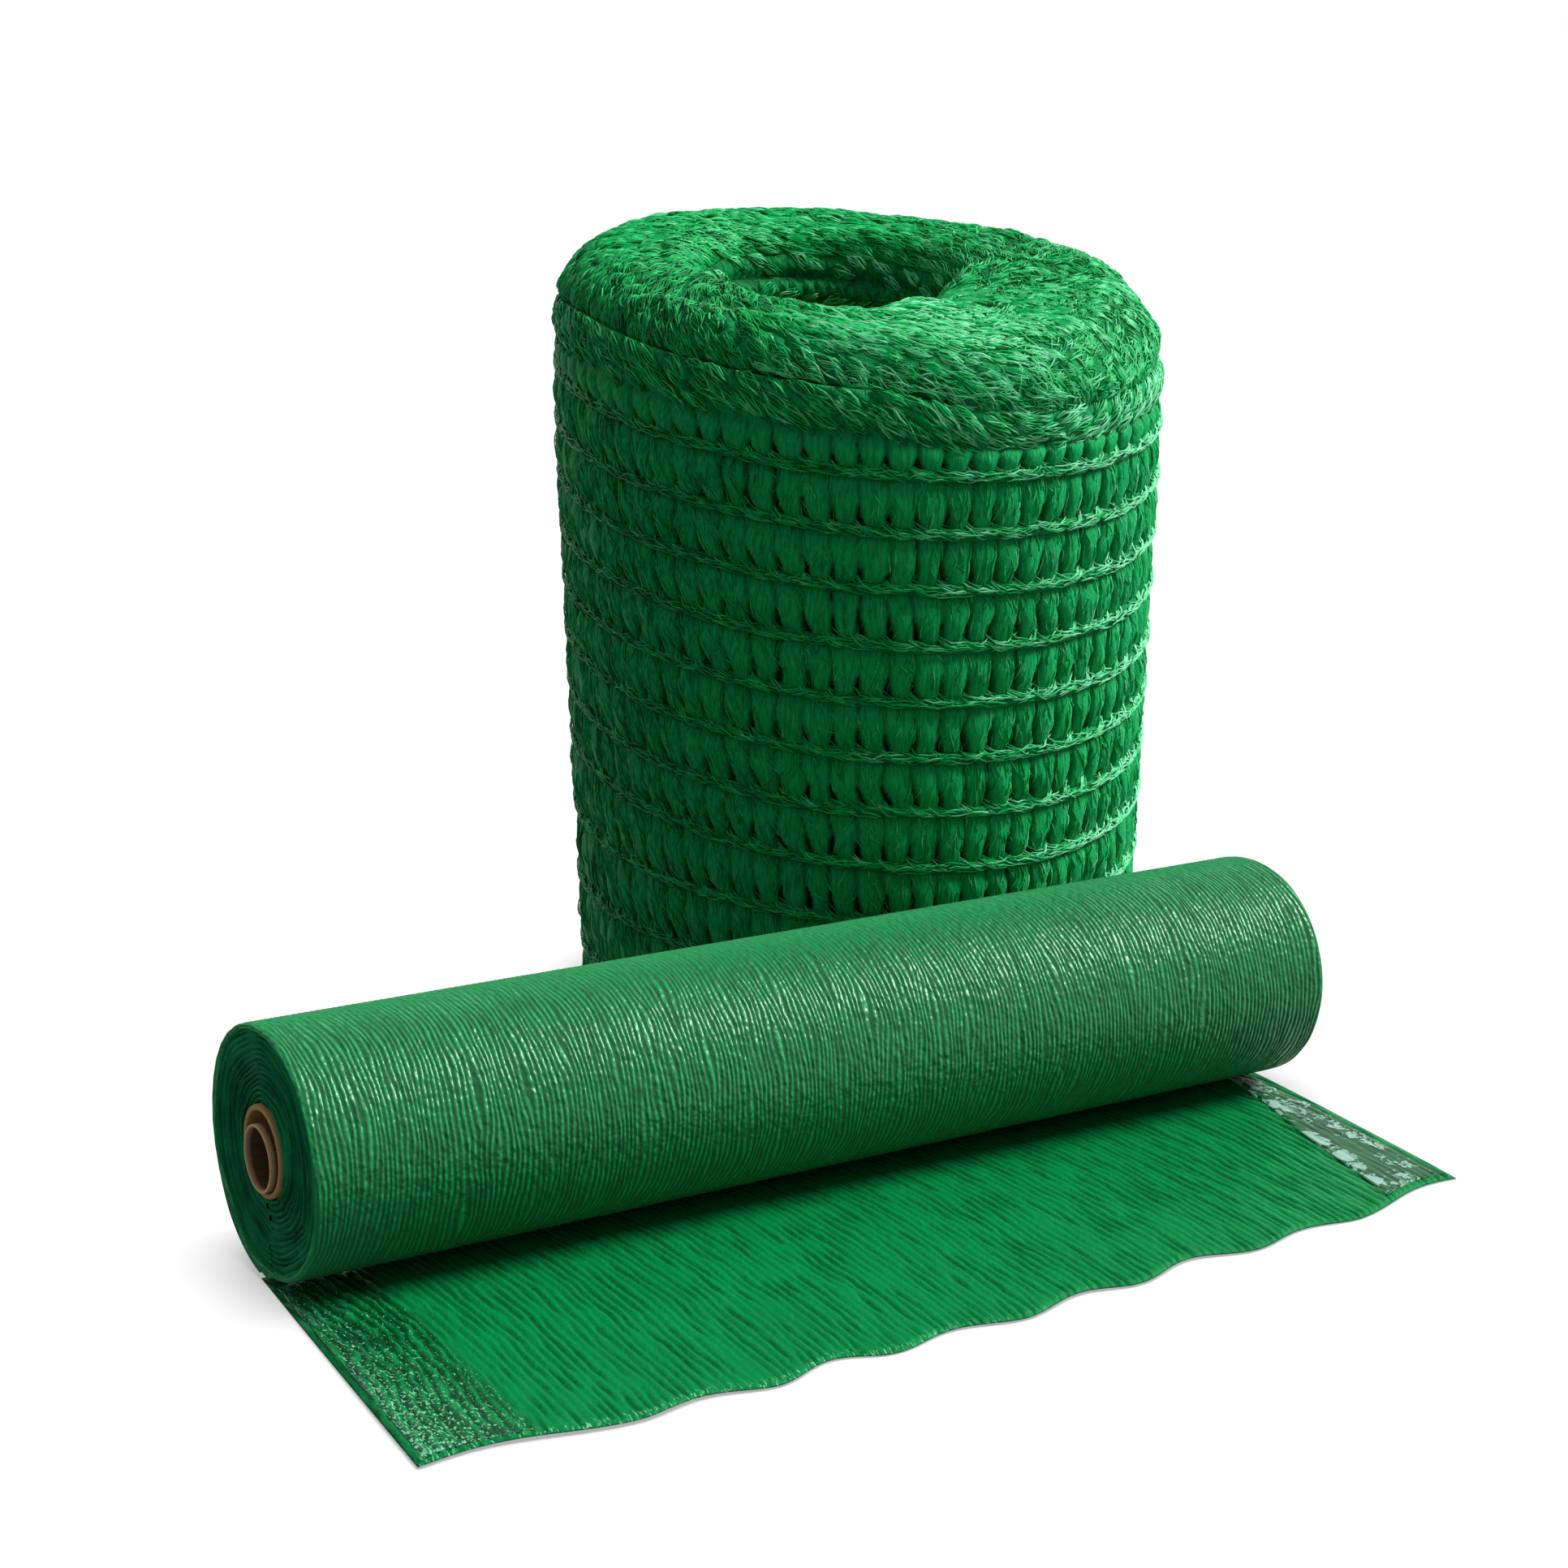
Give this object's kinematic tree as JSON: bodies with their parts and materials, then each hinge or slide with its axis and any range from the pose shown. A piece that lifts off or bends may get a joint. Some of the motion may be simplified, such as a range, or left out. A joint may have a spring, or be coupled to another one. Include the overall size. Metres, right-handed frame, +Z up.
{
  "type": "netting roll pair",
  "caption": "A creped sheet wound on a paper core with its end laid out flat, and a coreless roll of chunky knitted netting standing behind it.",
  "frame": {"origin": "on the floor under the middle of the lying roll, on the underside of the laid sheet", "axes": "+X along the lying roll's core, -Y towards the front edge of the laid sheet, +Z up"},
  "size_m": [0.5849, 0.5519, 0.3948],
  "materials": {
    "net_yarn": "fibrous plastic yarn, satin, bright green",
    "net_cord": "twisted plastic cord, satin with bright glints",
    "creped_sheet": "finely crinkled plastic crepe, satin sheen",
    "edge_film": "thin wrinkled glossy film",
    "core_board": "wound brown paper, matt",
    "sleeve_board": "wound brown paper with a worn pale lip",
    "tape": "double-sided tape, matt"
  },
  "bodies": {
    "laid_end": {"laid_sheet": "creped_sheet", "edge_film_left": "edge_film", "edge_film_right": "edge_film"},
    "peel": {"peel_strip": "creped_sheet"},
    "sheet_roll": {"wound_sheet": "creped_sheet", "core_tube": "core_board", "start_tape": "tape"},
    "sleeve": {"core_sleeve": "sleeve_board"},
    "net_roll": {"outer_wrap": "net_yarn", "middle_wrap": "net_yarn", "inner_wrap": "net_yarn", "net_cord_01": "net_cord", "net_cord_02": "net_cord", "net_cord_03": "net_cord", "net_cord_04": "net_cord", "net_cord_05": "net_cord", "net_cord_06": "net_cord", "net_cord_07": "net_cord", "net_cord_08": "net_cord", "net_cord_09": "net_cord", "net_cord_10": "net_cord", "net_cord_11": "net_cord", "stitch_row_01": "net_yarn", "stitch_row_02": "net_yarn", "stitch_row_03": "net_yarn", "stitch_row_04": "net_yarn", "stitch_row_05": "net_yarn", "stitch_row_06": "net_yarn", "stitch_row_07": "net_yarn", "stitch_row_08": "net_yarn", "stitch_row_09": "net_yarn", "stitch_row_10": "net_yarn", "stitch_row_11": "net_yarn", "stitch_row_12": "net_yarn"}
  },
  "joints": [
    {"name": "roll_travel", "type": "slide", "parent": "laid_end", "child": "peel", "axis": [0, -1, 0], "range_m": [0, 0.15]},
    {"name": "roll_spin", "type": "hinge", "parent": "peel", "child": "sheet_roll", "pos_m": [0, 0, 0.0558], "axis": [1, 0, 0], "range_deg": [0, 166]},
    {"name": "sleeve_spin", "type": "hinge", "parent": "peel", "child": "sleeve", "pos_m": [0, 0, 0.0533], "axis": [1, 0, 0], "range_deg": [0, 200]},
    {"name": "standing_roll_turn", "type": "hinge", "parent": "laid_end", "child": "net_roll", "pos_m": [0.165, 0.21335, 0], "axis": [0, 0, 1], "continuous": true}
  ],
  "couplings": [
    {"joint": "roll_spin", "follows": "roll_travel", "rad_per_m": 18.744},
    {"joint": "sleeve_spin", "follows": "roll_travel", "rad_per_m": 22.575}
  ]
}
